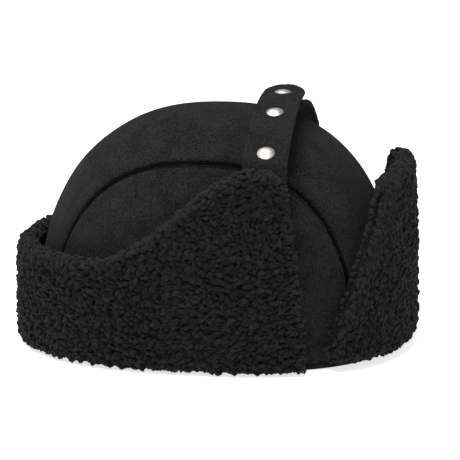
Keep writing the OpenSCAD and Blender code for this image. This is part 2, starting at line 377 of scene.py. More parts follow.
def set_inputs(node: bpy.types.Node, **values) -> None:
    """Sets a node's inputs by name, with _ for each space."""
    for key, value in values.items():
        node.inputs[key.replace("_", " ")].default_value = value


def point_value(tree, name: str) -> bpy.types.NodeSocket:
    """Adds an Attribute node and returns its value."""
    node = tree.nodes.new("ShaderNodeAttribute")
    node.attribute_name = name
    return node.outputs["Fac"]


def math_node(tree, operation: str, first, second) -> bpy.types.NodeSocket:
    """Adds a Math node.

    Args:
        tree: the node tree.
        operation: the node's operation.
        first: a socket or a number.
        second: a socket or a number.

    Returns:
        The node's output.
    """
    node = tree.nodes.new("ShaderNodeMath")
    node.operation = operation
    for k, value in enumerate((first, second)):
        if isinstance(value, (int, float)):
            node.inputs[k].default_value = value
        else:
            tree.links.new(value, node.inputs[k])
    return node.outputs[0]


def noise_node(tree, vector, scale, detail: float = 2.0) -> bpy.types.NodeSocket:
    """Adds a Noise Texture on given coordinates and returns its value."""
    node = tree.nodes.new("ShaderNodeTexNoise")
    node.inputs["Detail"].default_value = detail
    tree.links.new(vector, node.inputs["Vector"])
    if isinstance(scale, (int, float)):
        node.inputs["Scale"].default_value = scale
    else:
        tree.links.new(scale, node.inputs["Scale"])
    return node.outputs["Fac"]


def weave_group() -> bpy.types.NodeTree:
    """Woven cloth: diagonal ribs broken by a nap. Gives a colour mask and a height."""
    group, source, out = new_group(
        "woven_cloth",
        [("Vector", "NodeSocketVector", (0, 0, 0)), ("Ribs", "NodeSocketFloat", 500.0),
         ("Nap", "NodeSocketFloat", 900.0), ("Rib share", "NodeSocketFloat", 0.4)],
        [("Mask", "NodeSocketFloat"), ("Height", "NodeSocketFloat")])
    links = group.links
    wave = group.nodes.new("ShaderNodeTexWave")
    wave.wave_type, wave.bands_direction = "BANDS", "DIAGONAL"
    set_inputs(wave, Distortion=5.0, Detail=2.0, Detail_Scale=2.2)
    where = source.outputs["Vector"]
    links.new(where, wave.inputs["Vector"])
    links.new(source.outputs["Ribs"], wave.inputs["Scale"])
    nap = noise_node(group, where, source.outputs["Nap"], 2.0)
    ribs = math_node(group, "MULTIPLY", wave.outputs["Fac"], source.outputs["Rib share"])
    height = math_node(group, "ADD", ribs, nap)
    broad = noise_node(group, where, 70.0, 3.0)
    fleck = noise_node(group, where, math_node(group, "MULTIPLY", source.outputs["Nap"], 0.55), 1.0)
    mask = math_node(group, "MULTIPLY", height, 0.35)
    for part, share in ((broad, 0.25), (fleck, 0.5)):
        mask = math_node(group, "ADD", mask, math_node(group, "MULTIPLY", part, share))
    links.new(height, out.inputs["Height"])
    links.new(mask, out.inputs["Mask"])
    return group


def fibre_group() -> bpy.types.NodeTree:
    """Fine curly fibres on pile. Gives a colour mask and a height."""
    group, source, out = new_group(
        "curly_fibres",
        [("Vector", "NodeSocketVector", (0, 0, 0)), ("Fibre", "NodeSocketFloat", 1400.0)],
        [("Mask", "NodeSocketFloat"), ("Height", "NodeSocketFloat")])
    links = group.links
    warp = group.nodes.new("ShaderNodeTexNoise")
    warp.inputs["Scale"].default_value = 420.0
    links.new(source.outputs["Vector"], warp.inputs["Vector"])
    swirl = group.nodes.new("ShaderNodeVectorMath")
    swirl.operation = "MULTIPLY_ADD"
    swirl.inputs[1].default_value = (0.004, 0.004, 0.004)
    links.new(warp.outputs["Color"], swirl.inputs[0])
    links.new(source.outputs["Vector"], swirl.inputs[2])
    strand = noise_node(group, swirl.outputs[0], source.outputs["Fibre"], 3.0)
    ridge = math_node(group, "ABSOLUTE", math_node(group, "SUBTRACT", strand, 0.5), 0.0)
    height = math_node(group, "SUBTRACT", 1.0, math_node(group, "MULTIPLY", ridge, 4.0))
    links.new(height, out.inputs["Height"])
    links.new(noise_node(group, source.outputs["Vector"], 160.0, 3.0), out.inputs["Mask"])
    return group


def shader(name: str) -> tuple[bpy.types.Material, bpy.types.Node]:
    """Makes a material with a Principled BSDF.

    Returns:
        The material and its shader node.
    """
    material = bpy.data.materials.new(name)
    material.use_nodes = True
    return material, material.node_tree.nodes["Principled BSDF"]


def place_group(material: bpy.types.Material, group: bpy.types.NodeTree, **values: float) -> bpy.types.Node:
    """Puts a node group in a material on Object coordinates, with its own values."""
    tree = material.node_tree
    node = tree.nodes.new("ShaderNodeGroup")
    node.node_tree = group
    where = tree.nodes.new("ShaderNodeTexCoord")
    tree.links.new(where.outputs["Object"], node.inputs["Vector"])
    set_inputs(node, **values)
    return node


def shade(material: bpy.types.Material, mask, dark: Sequence[float], light: Sequence[float],
          low: float, high: float) -> bpy.types.NodeSocket:
    """Turns a mask into a colour between two colours.

    Args:
        material: the material.
        mask: the mask's socket.
        dark: colour at the mask's low end.
        light: colour at the mask's high end.
        low: where the dark end is.
        high: where the light end is.

    Returns:
        The colour's socket.
    """
    ramp = material.node_tree.nodes.new("ShaderNodeValToRGB")
    ramp.color_ramp.elements[0].position, ramp.color_ramp.elements[1].position = low, high
    ramp.color_ramp.elements[0].color = (*dark, 1)
    ramp.color_ramp.elements[1].color = (*light, 1)
    material.node_tree.links.new(mask, ramp.inputs["Fac"])
    return ramp.outputs["Color"]


def bump(material: bpy.types.Material, bsdf: bpy.types.Node, height, strength: float, depth: float) -> None:
    """Feeds a height to the shader's normal through a Bump node."""
    node = material.node_tree.nodes.new("ShaderNodeBump")
    set_inputs(node, Strength=strength, Distance=depth)
    material.node_tree.links.new(height, node.inputs["Height"])
    material.node_tree.links.new(node.outputs["Normal"], bsdf.inputs["Normal"])


def sheen(bsdf: bpy.types.Node, weight: float, roughness: float, tint: float) -> None:
    """Sets the soft rim light that short fibres give cloth."""
    set_inputs(bsdf, Sheen_Weight=weight, Sheen_Roughness=roughness, Sheen_Tint=(tint, tint, tint * 1.02, 1))


@dataclass(frozen=True)
class WoolFinish:
    """Thick wool cloth with a matte nap over a faint diagonal rib, with painted shade along the crown's
    seams.
    """

    name: str
    dark: tuple[float, float, float] = (0.0012, 0.0012, 0.0012)
    light: tuple[float, float, float] = (0.0250, 0.0243, 0.0246)
    ribs: float = 430.0
    nap: float = 1500.0
    rib_share: float = 0.25

    def make(self, weave: bpy.types.NodeTree) -> bpy.types.Material:
        """Builds the material."""
        material, bsdf = shader(self.name)
        cloth = place_group(material, weave, Ribs=self.ribs, Nap=self.nap, Rib_share=self.rib_share)
        tree = material.node_tree
        # Painted shade: the colour darkens along the crown's seams, where the groove lies in shade.
        painted_seam_shade = math_node(tree, "MULTIPLY", point_value(tree, "seam_shade"), 0.5)
        mask = math_node(tree, "SUBTRACT", cloth.outputs["Mask"], painted_seam_shade)
        colour = shade(material, mask, self.dark, self.light, 0.42, 0.78)
        tree.links.new(colour, bsdf.inputs["Base Color"])
        set_inputs(bsdf, Roughness=1.0, Specular_IOR_Level=0.06)
        sheen(bsdf, 0.022, 0.5, 0.85)
        bump(material, bsdf, cloth.outputs["Height"], 0.9, 0.0008)
        return material


@dataclass(frozen=True)
class PileFinish:
    """Black curly pile, with painted shade between the curls and a painted highlight on the curl tops."""

    name: str = "curly_pile"
    valley: tuple[float, float, float] = (0.0005, 0.0005, 0.0005)
    top: tuple[float, float, float] = (0.0140, 0.0138, 0.0140)

    def make(self, fibres: bpy.types.NodeTree) -> bpy.types.Material:
        """Builds the material, which reads each point's height in its curl and paints it as light: shade in
        the gaps, highlight on the tops.
        """
        material, bsdf = shader(self.name)
        tree = material.node_tree
        # Painted light: curl height turns into painted shade in the gaps and a painted highlight on the
        # tops.
        curl = math_node(tree, "MULTIPLY", point_value(tree, "curl_height"), 0.75)
        fibre = place_group(material, fibres, Fibre=1500.0)
        mask = math_node(tree, "ADD", curl, math_node(tree, "MULTIPLY", fibre.outputs["Mask"], 0.3))
        tree.links.new(shade(material, mask, self.valley, self.top, 0.3, 1.0), bsdf.inputs["Base Color"])
        set_inputs(bsdf, Roughness=0.8, Specular_IOR_Level=0.12)
        sheen(bsdf, 0.028, 0.45, 0.85)
        bump(material, bsdf, fibre.outputs["Height"], 0.7, 0.0006)
        return material


@dataclass(frozen=True)
class SmoothFinish:
    """Lining, tape, thread and wadding: a colour, its fine weave and how it shines."""

    name: str
    dark: tuple[float, float, float]
    light: tuple[float, float, float]
    roughness: float
    ribs: float
    sheen_weight: float = 0.1
    depth: float = 0.0002

    def make(self, weave: bpy.types.NodeTree) -> bpy.types.Material:
        """Builds the material."""
        material, bsdf = shader(self.name)
        cloth = place_group(material, weave, Ribs=self.ribs, Nap=self.ribs * 3, Rib_share=0.8)
        colour = shade(material, cloth.outputs["Mask"], self.dark, self.light, 0.4, 0.9)
        material.node_tree.links.new(colour, bsdf.inputs["Base Color"])
        bsdf.inputs["Roughness"].default_value = self.roughness
        sheen(bsdf, self.sheen_weight, 0.35, 0.9)
        bump(material, bsdf, cloth.outputs["Height"], 0.4, self.depth)
        return material


@dataclass(frozen=True)
class MetalFinish:
    """Plated snap metal with fine brushing and small dents."""

    name: str
    colour: tuple[float, float, float]
    roughness: float

    def make(self) -> bpy.types.Material:
        """Builds the material."""
        material, bsdf = shader(self.name)
        tree = material.node_tree
        where = tree.nodes.new("ShaderNodeTexCoord")
        spots = noise_node(tree, where.outputs["Object"], 900.0, 4.0)
        dull = tuple(0.8 * c for c in self.colour)
        tree.links.new(shade(material, spots, dull, self.colour, 0.35, 0.6), bsdf.inputs["Base Color"])
        rough = tree.nodes.new("ShaderNodeMapRange")
        set_inputs(rough, To_Min=self.roughness * 0.8, To_Max=self.roughness * 1.3)
        tree.links.new(spots, rough.inputs["Value"])
        tree.links.new(rough.outputs["Result"], bsdf.inputs["Roughness"])
        bsdf.inputs["Metallic"].default_value = 1.0
        bump(material, bsdf, spots, 0.12, 0.0001)
        return material


# ---------------------------------------------------------------- the cuff and the front flap


@dataclass(frozen=True)
class Cut:
    """One piece of the cuff or front flap: its side edges in degrees, at the foot and at the top."""

    name: str
    near: tuple[float, float]
    far: tuple[float, float]
    front: bool = False
    near_free: bool = False
    far_free: bool = False


@dataclass
class PilePad:
    """Curly pile with its wool backing, turned up round the crown."""

    form: Form
    shell_in: float = 1.5
    shell_out: float = 4.0
    pile_in: float = 4.3
    pile_out: float = 12.6
    step: float = 0.8
    curl: float = 3.3
    reach: float = 1.5
    end_round: float = 5.5
    side_round: float = 5.0
    wrap: float = 2.4
    tuft_gap: float = 2.1
    girth: float = 1.09  # the outline's real radius against the mean of its half length and half width
    corner: float = 15.0  # how far from a free edge its top and foot start to round off
    corner_drop: float = 11.0
    corner_lift: float = 9.0
    floor_gap: float = 0.3
    inside: float = 99.0  # a distance that is far from any free edge
    lock_ring: int = 6  # points round a lock, and rings along it
    lock_sink: float = 1.75

    def surface(self, cut: Cut, u: Array, v: Array, o: Array) -> Array:
        """A place on a cuff piece.

        Args:
            cut: the piece.
            u: share of the way from the near edge to the far edge.
            v: height over the foot as a share of the piece's height.
            o: distance outwards from the crown.

        Returns:
            Points in millimetres.
        """
        f = self.form
        near = cut.near[0] + (cut.near[1] - cut.near[0]) * v
        far = cut.far[0] + (cut.far[1] - cut.far[0]) * v
        phi = near + (far - near) * u
        top_phi = cut.near[1] + (cut.far[1] - cut.near[1]) * u
        foot = self.foot(cut)
        top = f.front_h + 0 * u if cut.front else f.cuff_top(top_phi)
        z = foot + (top - foot) * v
        lean = f.flap_lean(z) if cut.front else f.cuff_lean(z)
        x, y = f.plan(phi, o - lean)
        return np.stack([x, y, z], -1)

    def foot(self, cut: Cut) -> float:
        """Height of a piece's fold over the floor."""
        return self.form.front_fold if cut.front else self.form.foot

    def section(self, height: float) -> tuple[Array, Array, Array]:
        """The pile's closed outline: offset from its middle, height as a share, and how much it curls."""
        r, half = self.end_round, (self.pile_out - self.pile_in) / 2
        fine, coarse = self.step, 4.0
        angle = np.linspace(math.pi, 2 * math.pi, 22)[:-1]
        foot = np.stack([half * np.cos(angle), r + r * np.sin(angle)], -1)
        outer_z = np.linspace(r, height - r, max(int((height - 2 * r) / fine), 4))[:-1]
        outer = np.stack([np.full_like(outer_z, half), outer_z], -1)
        angle = np.linspace(0, math.pi, 26)[:-1]
        top = np.stack([half * np.cos(angle), height - r + r * np.sin(angle)], -1)
        inner_z = np.linspace(height - r, r, max(int((height - 2 * r) / coarse), 3))[:-1]
        inner = np.stack([np.full_like(inner_z, -half), inner_z], -1)
        loop = np.concatenate([foot, outer, top, inner])
        share = np.clip((loop[:, 0] + half) / (0.8 * half), 0, 1)
        share = np.where(loop[:, 1] > height - 1.4 * r, np.maximum(share, 0.55), share)
        return loop[:, 0], loop[:, 1] / height, share

    def lumps(self, p: Array) -> tuple[Array, Array]:
        """Curl height at each point.

        Args:
            p: points in millimetres, shape (n, 3).

        Returns:
            Height from 0 in the gaps to 1 on the tops, and a sideways pull towards each curl's middle.
        """
        q = p + drift(p, 14.0, 3) * 2.4 + drift(p, 4.5, 5) * 1.3
        lean = drift(p, 22.0, 7)
        q = q * (1 + 0.16 * lean)
        q[:, 2] *= 0.86
        near, second, towards = curls(q, self.curl, 11)
        gap = np.clip((second - near) / 0.42, 0, 1)
        dome = np.clip(1 - (near / 0.95) ** 2, 0, 1)
        big = gap**0.6 * (0.35 + 0.65 * dome)
        near2, second2, _ = curls(q + 37.0, self.curl * 0.5, 13)
        small = np.clip((second2 - near2) / 0.5, 0, 1) ** 0.7
        swell = 0.5 + 0.5 * drift(p, 7.0, 17)[:, 0]
        height = np.clip(0.66 * big + 0.20 * small + 0.2 * swell * big, 0, 1)
        return height, towards * (0.32 * gap)[:, None]

    def pad(self, cut: Cut) -> bpy.types.Object:
        """Builds a piece's pile: a closed pad whose face and edges are curls.

        Args:
            cut: the piece.

        Returns:
            The pile, with each point's curl height.
        """
        f = self.form
        edge_tops = [float(f.cuff_top(np.array(a))) for a in (cut.near[1], cut.far[1])]
        tall = (f.front_h if cut.front else max(edge_tops)) - self.foot(cut)
        offset, share_z, weight = self.section(tall)
        low_span, high_span = cut.far[0] - cut.near[0], cut.far[1] - cut.near[1]
        wide = max(abs(low_span), abs(high_span))
        width = math.radians(wide) * (f.a + f.b) / 2 * self.girth
        rows = int(width / self.step) + 1
        u = np.linspace(0, 1, rows)[:, None]
        across = np.abs(np.interp(share_z, [0, 1], [low_span, high_span]))
        length = np.radians(across)[None] * (f.a + f.b) / 2 * self.girth
        edge = np.full((rows, len(offset)), self.inside)
        if cut.near_free:
            edge = np.minimum(edge, u * length + 0.05)
        if cut.far_free:
            edge = np.minimum(edge, (1 - u) * length + 0.05)
        thin = quarter_round(edge, self.side_round)
        turn = 1 - quarter_round(edge, self.corner)
        near_top = np.clip((share_z[None] * tall - tall + 8.0) / 4.0, 0, 1)
        over = ease(np.maximum(np.clip(1 - edge / 7.0, 0, 1), near_top))
        inner = self.pile_in - self.wrap * over
        mid, half = (self.pile_out + inner) / 2, (self.pile_out - inner) / 2
        o = mid + offset[None] / ((self.pile_out - self.pile_in) / 2) * half * (0.15 + 0.85 * thin)
        v = share_z[None] * (1 - turn * self.corner_drop / tall * share_z[None] ** 3) + 0 * u
        if cut.front:
            v = v + turn * self.corner_lift / tall * (1 - share_z[None]) ** 3
        u = u + 0 * v
        base = self.surface(cut, u, v, o)
        ring = np.concatenate([base[:, -1:], base, base[:, :1]], 1)
        along = np.gradient(base, axis=0)
        around = (ring[:, 2:] - ring[:, :-2]) / 2
        normal = unit(np.cross(around, along))
        outward = base - base.mean(axis=1, keepdims=True)
        normal *= np.sign((normal * outward).sum(-1).sum())
        flat = base.reshape(-1, 3)
        height, pull = self.lumps(flat)
        by_edge = np.where(edge < 6, 1 - edge / 8, 0)
        weight = np.maximum(np.broadcast_to(weight[None], edge.shape), by_edge)
        amount = weight.reshape(-1)
        fuzz = drift(flat, 1.3, 23) * 0.2
        moved = flat + normal.reshape(-1, 3) * ((height * 1.2 - 1.1) * self.reach * amount)[:, None]
        moved += (pull + fuzz) * amount[:, None]
        moved[:, 2] = np.maximum(moved[:, 2], self.floor_gap)
        top_rim = np.clip(share_z[None] * tall - tall + 7, 0, 5) / 5 + 0 * edge
        rim = np.maximum(np.clip(1 - edge / 6, 0, 1), top_rim)
        tuft_points, tuft_faces, tuft_painted_light = self.tufts(cut, base, normal, weight, rim, len(moved))
        columns = base.shape[1]
        index, quads = grid_quads(rows, columns, True)
        a, b = moved[quads[:, 2]] - moved[quads[:, 0]], moved[quads[:, 3]] - moved[quads[:, 1]]
        facing = (np.cross(a, b) * normal.reshape(-1, 3)[quads[:, 0]]).sum(-1).sum()
        caps = end_caps(index, columns)
        if facing < 0:
            quads, caps = quads[:, ::-1], [cap[::-1] for cap in caps]
        faces = quads.tolist() + caps + tuft_faces
        piece = add_mesh(cut.name + "_curls", np.concatenate([moved, tuft_points]), faces)
        # The curl heights double as painted light for the pile's colour: painted shade in the gaps, a
        # painted highlight on the tops.
        mark(piece, "curl_height", np.concatenate([height * amount * 0.55, tuft_painted_light]))
        only(piece)
        bpy.ops.object.shade_smooth()
        return piece

    def tufts(self, cut: Cut, base: Array, normal: Array, weight: Array, rim: Array,
              first: int) -> tuple[Array, list, Array]:
        """Scatters small curled locks over a pad's face and edges.

        Args:
            cut: the piece.
            base: the pad's surface before it is roughened, in rows.
            normal: the surface's outward directions.
            weight: how much of the pile shows at each place.
            rim: how near each place is to the pad's edge, from 0 to 1.
            first: the number of the first new point.

        Returns:
            The locks' points, their faces, and each point's painted light, which follows how high it lies in
            its lock and is lighter on the lock's top side and near the pad's rim.
        """
        chance = np.random.default_rng(sum(map(ord, cut.name)))
        rows, columns = base.shape[:2]
        run = np.linalg.norm(np.diff(base[rows // 2], axis=0), axis=-1)
        at = np.concatenate([[0], np.cumsum(run)])
        picks = []
        row_gap = self.tuft_gap / self.step
        for r in np.arange(0.5, rows / row_gap):
            places = np.arange(chance.random() * self.tuft_gap, at[-1], self.tuft_gap * 0.92)
            places = places + chance.normal(0, 0.35 * self.tuft_gap, len(places))
            column = np.clip(np.searchsorted(at, places), 0, columns - 1)
            row = np.clip((r + chance.normal(0, 0.3, len(places))) * row_gap, 0, rows - 1).astype(int)
            picks.append(np.stack([row, column], -1))
        picks = np.concatenate(picks)
        keep = weight[picks[:, 0], picks[:, 1]] > 0.5
        picks = picks[keep]
        p, n = base[picks[:, 0], picks[:, 1]], normal[picks[:, 0], picks[:, 1]]
        near_rim = rim[picks[:, 0], picks[:, 1]]
        clear = p[:, 2] > 2.2
        p, n, near_rim = p[clear], n[clear], near_rim[clear, None]
        count = len(p)
        flow = drift(p, 18.0, 61) * 1.3 + chance.normal(0, 0.36, (count, 3))
        flow[:, 2] *= 1.9 if cut.front else 0.55
        t = unit(flow - n * (flow * n).sum(-1, keepdims=True))
        b = np.cross(n, t)
        size = chance.uniform(0.62, 1.3, (count, 1))
        length = chance.uniform(3.4, 6.0, (count, 1)) * size
        rise = chance.uniform(0.9, 2.2, (count, 1)) * size + 0.8 * near_rim * chance.random((count, 1))
        swing = chance.normal(0, 1.15, (count, 1))
        points = self.lock_ring
        s = np.linspace(0, 1, points)
        middle = np.stack([
            p + t * length * (k - 0.5) * (1 - 0.25 * abs(k - 0.5))
            + n * (rise * math.sin(math.pi * k) ** 0.8 - self.lock_sink)
            + b * swing * (math.sin(math.pi * k) - 0.5) for k in s], 1)
        girths = np.array([0.25, 0.8, 1.2, 1.25, 0.9, 0.3])
        thick = girths[None] * size * chance.uniform(0.8, 1.1, (count, 1))
        ahead = unit(np.gradient(middle, axis=1))
        side = unit(np.cross(ahead, n[:, None]))
        up = np.cross(side, ahead)
        turn = np.linspace(0, 2 * math.pi, points + 1)[:-1]
        sideways = np.cos(turn)[None, None, :, None] * side[:, :, None]
        upwards = np.sin(turn)[None, None, :, None] * up[:, :, None]
        rings = middle[:, :, None] + thick[:, :, None, None] * (sideways + upwards)
        rings += chance.normal(0, 0.15, rings.shape)
        rings += drift(rings.reshape(-1, 3), 2.6, 71).reshape(rings.shape) * 0.45
        rings[..., 2] = np.maximum(rings[..., 2], 0.25)
        lock, _ = grid_quads(points, points, True)
        quad = np.stack([lock[:-1, :-1], lock[:-1, 1:], lock[1:, 1:], lock[1:, :-1]], -1).reshape(-1, 4)
        size_of_lock = points * points
        offsets = (first + size_of_lock * np.arange(count))[:, None, None]
        faces = (quad[None] + offsets).reshape(-1, 4).tolist()
        faces += (np.arange(points)[None, ::-1] + offsets[:, 0]).tolist()
        faces += (np.arange(size_of_lock - points, size_of_lock)[None] + offsets[:, 0]).tolist()
        # Painted light: a lock's colour runs from painted shade at its ends and underside to a painted
        # highlight along its top, lighter still near the pad's rim.
        level = np.array([0.0, 0.45, 0.9, 1.0, 0.6, 0.0])[None, :, None] + 0.25 * np.sin(turn)[None, None]
        level = np.clip(level, 0, 1) * chance.uniform(0.4, 0.9, (count, 1, 1)) + 0.45 * near_rim[:, :, None]
        return rings.reshape(-1, 3), faces, level.reshape(-1)

    def backing(self, cut: Cut) -> bpy.types.Object:
        """Builds a piece's wool backing, rounded over at its top edge."""
        wide = max(abs(cut.far[0] - cut.near[0]), abs(cut.far[1] - cut.near[1]))
        radius, spacing, columns = 110, 2.0, 56
        rows = int(math.radians(wide) * radius / spacing) + 2
        inset = 5.0 / (math.radians(wide) * radius)
        first = inset if cut.near_free else 0
        last = 1 - inset * 2 if cut.far_free else 1
        u = np.linspace(first, last, rows)[:, None]
        v = np.linspace(0, 1, columns)[None]
        o_in, o_out = self.shell_in, self.shell_out
        half = (o_out - o_in) / 2
        angle = np.linspace(0, math.pi, 7)[1:-1]
        offset = np.concatenate([np.full(columns, -half), -half * np.cos(angle), np.full(columns, half)])
        top = 0.94
        v = np.concatenate([v[0] * top, top + 0.012 * np.sin(angle), v[0][::-1] * top])
        o = (o_in + o_out) / 2 + offset[None] + 0 * u
        points = self.surface(cut, u + 0 * v[None], v[None] + 0 * u, o)
        wave = drift(points.reshape(-1, 3), 26.0, 31)[:, :1] * 0.25
        points = points + np.concatenate([wave, wave, 0 * wave], 1).reshape(points.shape)
        piece = grid_mesh(cut.name + "_backing", points, ring=True, caps=True)
        finish_mesh(piece, 50)
        return piece

    def build(self, cut: Cut, pile: bpy.types.Material, wool: bpy.types.Material) -> None:
        """Makes one piece of the cuff or front flap."""
        foot = self.foot(cut)
        at = self.surface(cut, np.array([0.5]), np.array([0.0]), np.array([6.0]))[0]
        for kind, piece, material in (("pile", self.pad(cut), pile), ("shell", self.backing(cut), wool)):
            dress(piece, material)
            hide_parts(f"{cut.name}_{kind}")
            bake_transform(piece)
            LOG.info("%s: %d faces", piece.name, len(piece.data.polygons))


def cuff_cuts() -> list[Cut]:
    """The cuff's seven pieces and the front flap's three, with their seams."""
    cuts = [Cut("back_nape", (163, 163), (197, 197)), Cut("front_flap", (-20, -20), (20, 20), front=True)]
    for side in Side:
        s = side.sign
        cuts += [
            Cut(f"{side.value}_ear_flap", (54 * s, 59 * s), (98 * s, 98 * s), near_free=True),
            Cut(f"{side.value}_quarter", (98 * s, 98 * s), (130 * s, 130 * s)),
            Cut(f"{side.value}_nape", (130 * s, 130 * s), (163 * s, 163 * s)),
            Cut(f"front_{side.value}_wing", (20 * s, 20 * s), (49 * s, 24 * s), front=True, far_free=True),
        ]
    return cuts


# ---------------------------------------------------------------- the crown


def even(points: Array, count: int) -> Array:
    """Spaces points evenly along a line.

    Args:
        points: the line, shape (n, 3).
        count: how many points to return.

    Returns:
        Points evenly spaced along the line.
    """
    run = np.concatenate([[0], np.cumsum(np.linalg.norm(np.diff(points, axis=0), axis=1))])
    at = np.linspace(0, run[-1], count)
    return np.stack([np.interp(at, run, points[:, k]) for k in range(3)], -1)


@dataclass
class Crown:
    """The three wool panels and their lining, and what is sewn inside the rim."""

    form: Form
    wool_t: float = 2.4
    lining_out: float = -5.1
    lining_t: float = 1.1
    band_out: float = -7.2
    band_in: float = -8.6
    band_h: float = 28.0
    facing_h: float = 3.0
    seam: float = 0.12
    label_w: float = 34.0
    label_inset: float = 6.0

    def centre_points(self, o: float, rows: int, columns: int) -> Array:
        """The centre panel's surface, from back to front and from right to left."""
        f = self.form
        half = f.panel_half - self.seam
        power = 2 / f.profile_power
        lines = []
        for x in np.linspace(-half, half, columns):
            wide = float(f.end_y(np.array(x), np.array(0.0), o))
            tall = float(f.top_z(np.array(x), np.array(0.0), o))
            low = math.asin(min((f.rim / tall) ** (1 / power), 1))
            turn = np.linspace(low, math.pi - low, 600)
            c, s = np.cos(turn), np.sin(turn)
            line = np.stack([np.full_like(c, x), wide * signed_power(c, power), tall * s**power], -1)
            lines.append(even(line, rows))
        return np.stack(lines, 1)

    def side_points(self, o: float, side: Side, rows: int, columns: int) -> Array:
        """A side panel's surface, from back to front and from the rim to the seam."""
        f = self.form
        seam_x = f.panel_half + self.seam
        end = float(f.end_y(np.array(seam_x), np.array(f.rim + 1.5), o))
        along = end * np.cos(np.linspace(0, math.pi, rows))
        power = 2 / f.profile_power
        lines = []
        for y in along:
            wide = float(f.side_x(np.array(y), np.array(0.0), o))
            tall = float(f.top_z(np.array(0.0), np.array(y), o))
            turn = np.linspace(0, math.pi / 2, 1500)
            x, z = wide * np.cos(turn) ** power, tall * np.sin(turn) ** power
            line = np.stack([x, np.full_like(turn, y), z], -1)
            inside = (line[:, 0] >= seam_x) & (line[:, 2] >= f.rim)
            line = line[inside] if inside.sum() > 2 else line[:3] * 0 + [seam_x, y, f.rim]
            lines.append(even(line, columns))
        points = np.stack(lines)
        points[..., 0] *= -side.sign
        return points

    def shape(self, points: Array, edge: Array, dip: float, swell: float) -> Array:
        """Turns a plain panel into sewn cloth: pulled in at its seams, softly uneven between them.

        Args:
            points: the panel's points.
            edge: each point's distance from the seam.
            dip: how far the cloth is pulled in at the seam.
            swell: how far it rises and falls between seams.

        Returns:
            The new points.
        """
        normal = unit(np.cross(np.gradient(points, axis=0), np.gradient(points, axis=1)))
        centre = np.array([0, 0, 40.0])
        normal *= np.sign((normal * (points - centre)).sum(-1, keepdims=True))
        flat = points.reshape(-1, 3)
        broad = drift(flat, 62.0, 41)[:, 0].reshape(edge.shape)
        fine = drift(flat, 24.0, 43)[:, 1].reshape(edge.shape)
        pucker = np.sin(points[..., 1] / 9.0 * 2 * math.pi + 2.0 * broad) * np.exp(-edge / 6.0) * 0.22
        by_height = swell * np.clip(points[..., 2] / 70, 0.55, 1.5)
        rise = by_height * (0.6 * broad + 0.25 * fine + 0.3) * (1 - np.exp(-((edge / 14.0) ** 2)))
        groove = dip * np.exp(-((edge / 1.25) ** 2))
        ridge = 0.4 * np.exp(-(((edge - 5.0) / 3.0) ** 2))
        lift = rise + pucker - groove + ridge
        return points + normal * lift[..., None]

    @staticmethod
    def sew(piece: bpy.types.Object, node: str, material, slot: str, held: str, under: str) -> None:
        """Dresses a sheet that stands for a CAD node and rides on the crown."""
        dress(piece, material)
        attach(piece, "crown")
        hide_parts(node)

    def cloth(self, name: str, node: str, points: Array, edge: Array, thickness: float,
              material, slot: str) -> None:
        """Makes a closed sheet that stands for a CAD layer and rides on the crown."""
        piece = grid_mesh(name, points)
        # Painted shade: how close each point is to the seam, for the wool's colour to darken the groove.
        mark(piece, "seam_shade", np.exp(-((edge / 1.2) ** 2)).reshape(-1))
        finish_mesh(piece, 60)
        low = sum((v.normal.dot(v.co - Vector((0, 0, 0.04))) for v in piece.data.vertices))
        if low < 0:
            piece.data.flip_normals()
        thicken(piece, thickness)
        only(piece)
        bpy.ops.object.shade_smooth_by_angle(angle=math.radians(50))
        self.sew(piece, node, material, slot, "stretched", "crown")

    def panels(self, wool: bpy.types.Material, lining: bpy.types.Material) -> None:
        """Builds the wool panels and the lining under them."""
        layers = (("crown", 0.0, self.wool_t, wool, "wool", 1.4),
                  ("lining", self.lining_out, self.lining_t, lining, "lining", 0.0))
        for layer, o, t, material, slot, dip in layers:
            points = self.centre_points(o, 170 if dip else 90, 76 if dip else 40)
            edge = (self.form.panel_half - np.abs(points[..., 0])) * 1.15
            points = self.shape(points, edge, dip, 0.9 if dip else 0.3)
            self.cloth(f"{layer}_centre_cloth", f"{layer}_centre_panel", points, edge, t, material, slot)
            for side in Side:
                points = self.side_points(o, side, 130 if dip else 70, 46 if dip else 24)
                seam = points[:, -1:]
                edge = np.linalg.norm(points - seam, axis=-1)
                points = self.shape(points, edge, dip, 0.9 if dip else 0.3)
                self.cloth(f"{layer}_side_cloth_{side.value}", f"{layer}_side_panel_{side.value}",
                           points, edge, t, material, slot)

    def ring(self, name: str, node: str, profile: Array, material, slot: str, count: int = 360) -> None:
        """Makes a band round the rim from a closed outline of offsets and heights.

        Args:
            name: the piece's name.
            node: the CAD node it stands for.
            profile: the outline, shape (n, 2): offset from the crown, height.
            material: its material.
            slot: not used.
            count: places round the rim.
        """
        phi = np.linspace(0, 360, count + 1)[:, None]
        o, z = profile[None, :, 0], profile[None, :, 1]
        x, y = self.form.plan(phi, o + 0 * phi)
        lean = self.form.taper(z, o)
        points = np.stack([x * lean, y * lean, z + 0 * phi], -1)
        piece = grid_mesh(name, points, ring=True)
        finish_mesh(piece, 50)
        self.sew(piece, node, material, slot, "stretched", "crown")

